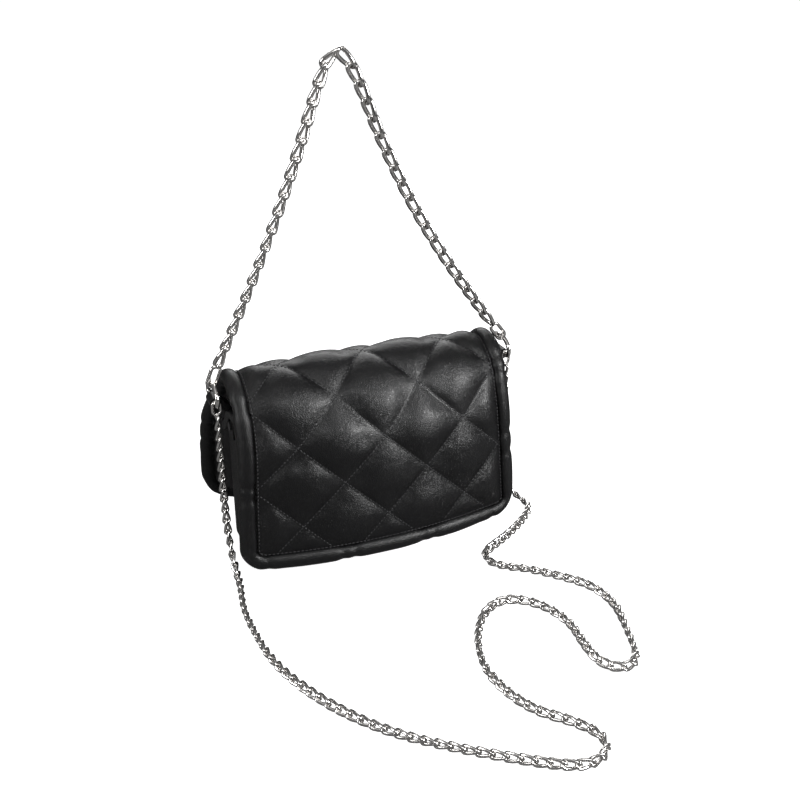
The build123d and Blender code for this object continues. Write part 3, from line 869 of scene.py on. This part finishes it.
def carried_frames(line, count, up):
    """Evenly spaced places along a line, with axes that turn as little as they can."""
    gaps = np.linalg.norm(np.diff(line, axis=0), axis=1)
    along = np.concatenate([[0], np.cumsum(gaps)])
    places = (np.arange(count) + 0.5) * along[-1] / count
    spots = np.column_stack([np.interp(places, along, line[:, k]) for k in range(3)])
    reach = along[-1] / count / 2
    before, after = (np.column_stack([np.interp(places + d, along, line[:, k]) for k in range(3)])
                     for d in (-reach, reach))
    ahead = after - before
    ahead /= np.linalg.norm(ahead, axis=1, keepdims=True)
    up = np.array(up, float)
    frames = []
    for spot, d in zip(spots, ahead):
        up = up - d * up.dot(d)
        up /= np.linalg.norm(up)
        frames.append((spot, d, np.cross(up, d), up.copy()))
    return frames, along[-1]


def chain(name, route, sizes, up, roll, node):
    """A curb chain, link by link along its route."""
    line = route_curve(name + "_line", route)
    length = np.linalg.norm(np.diff(line, axis=0), axis=1).sum()
    count = round(length / sizes["pitch"])
    frames, length = carried_frames(line, count, up)
    link, quads = curb_link(**sizes)
    points, faces = [], []
    for k, (spot, d, side, top) in enumerate(frames):
        turn = math.radians(roll(spot, k) + rng.normal(0, 3.0))
        b = side * math.cos(turn) + top * math.sin(turn)
        c = np.cross(d, b)
        base = k * len(link)
        points.append(spot + link[:, :1] * d + link[:, 1:2] * b + link[:, 2:] * c)
        faces += [tuple(base + i for i in f) for f in quads]
    piece = mesh(name, np.vstack(points), faces, NICKEL)
    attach(piece, "bag")
    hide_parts(node)


def handle_roll(spot, k):
    """Turn of the handle's links about their run, in degrees."""
    return 35 + 12 * math.sin(k * 0.37)


def strap_roll(spot, k):
    """Flat on the floor, and turned edge on where the chain folds over."""
    lying = float(smoothstep(30, 6, spot[2]))
    return (1 - lying) * (20 + 25 * math.sin(k * 0.21)) + lying * 14 * math.sin(k * 0.33)


# ---------------------------------------------------------------- metal and leather kept from CAD
def dress(node, material, bevel=0.0):
    """Gives a CAD piece its material, with its edges softened."""
    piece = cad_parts[node]
    piece.data.materials.clear()
    piece.data.materials.append(material)
    if bevel:
        soft = piece.modifiers.new("soft_edges", "BEVEL")
        soft.width = bevel * MM
        soft.segments = 3
        soft.limit_method = "ANGLE"
        soft.angle_limit = math.radians(40)
        soft.harden_normals = True


# ---------------------------------------------------------------- stage, light and camera
def seen_directly(nodes):
    """1 for what the camera sees, 0 for light that bounces."""
    return nodes.add("LightPath").outputs["Is Camera Ray"]


def stage():
    """White table and backdrop, dimmer in reflections so that black leather stays black."""
    material, n, shader = new_material("pale_floor")
    place = n.add("TexCoord").outputs["Object"]
    mirrored = n.add("LightPath").outputs["Is Glossy Ray"]
    tone = n.ramp(n.noise(place, 3.0, 2.0), 0.0, 1.0, 0.86, 0.9)
    tone = n.math("MULTIPLY", tone, n.math("SUBTRACT", 1.0, n.math("MULTIPLY", mirrored, 0.82)))
    colour = n.add("CombineColor", in0=tone, in1=tone, in2=tone)
    n.tree.links.new(colour.outputs[0], shader.inputs["Base Color"])
    shader.inputs["Roughness"].default_value = 0.8
    shader.inputs["Specular IOR Level"].default_value = 0.1
    shader.inputs["Emission Color"].default_value = (1, 1, 1, 1)
    glow = n.math("MULTIPLY", seen_directly(n), 0.9)
    n.tree.links.new(glow, shader.inputs["Emission Strength"])
    size = 9000
    floor = mesh("floor", [(-size, -size, 0), (size, -size, 0), (size, size, 0), (-size, size, 0)],
                 [(0, 1, 2, 3)], material, smooth=False)
    world = bpy.data.worlds.new("studio")
    world.use_nodes = True
    n = Nodes(world.node_tree)
    strength = n.math("ADD", n.math("MULTIPLY", seen_directly(n), 1.0), 0.13)
    n.tree.links.new(strength, world.node_tree.nodes["Background"].inputs["Strength"])
    world.node_tree.nodes["Background"].inputs["Color"].default_value = (1, 1, 1, 1)
    bpy.context.scene.world = world


def softbox(name, place, target, size, power):
    light = bpy.data.lights.new(name, "AREA")
    light.shape = "RECTANGLE"
    light.size, light.size_y = size
    light.energy = power
    piece = bpy.data.objects.new(name, light)
    piece.location = place
    piece.rotation_euler = (Vector(target) - Vector(place)).to_track_quat("-Z", "Y").to_euler()
    bpy.context.scene.collection.objects.link(piece)


def camera():
    data = bpy.data.cameras.new("camera")
    data.sensor_width = 36
    data.sensor_fit = "HORIZONTAL"
    data.lens = 46.98
    data.clip_start = 0.01
    piece = bpy.data.objects.new("camera", data)
    piece.location = (0.22351, 0.59972, 0.39891)
    ahead = Vector((-0.3506, -0.8290, -0.4357))
    piece.rotation_euler = ahead.to_track_quat("-Z", "Y").to_euler()
    bpy.context.scene.collection.objects.link(piece)
    scene = bpy.context.scene
    scene.camera = piece
    scene.view_settings.view_transform = "Standard"


camera()
stage()
softbox("key", (-0.75, 0.9, 0.62), (0, 0.04, 0.08), (0.4, 0.35), 15)
softbox("high_fill", (0.1, 1.0, 1.15), (0, 0.04, 0.08), (0.7, 0.3), 4)
softbox("overhead", (0.3, 0.4, 1.6), (0, 0.1, 0.0), (1.6, 1.6), 3)
softbox("near_end", (1.1, 0.35, 0.55), (0.1, 0.02, 0.08), (0.25, 0.6), 5)
softbox("behind", (-0.4, -1.0, 0.7), (0, 0, 0.1), (0.8, 0.4), 5)

chain("handle_chain_links", HANDLE_ROUTE, HANDLE, (0, 1, 0), handle_roll,
      "handle_chain")
chain("crossbody_chain_links", STRAP_ROUTE, STRAP, (1, 0, 0), strap_roll,
      "crossbody_chain")

wrap_leather()
wrap_border()
wrap_lining()
wrap_stitches()
for word, side in SIDES.items():
    side_welt(word, side)
    dress(f"d_ring_{word}", NICKEL)
    dress(f"handle_end_link_{word}", NICKEL)
    dress(f"strap_end_link_{word}", NICKEL)
    dress(f"ring_tab_{word}", LEATHER, 0.4)
pouch()
pouch_binding()
slip_pocket()
# The rivets are coloured near black, lighter in places at random.
dress("tab_rivets", RIVET_DARK, 0.35)
dress("flap_snap_stud", NICKEL, 0.5)
dress("front_snap_cup", NICKEL, 0.5)
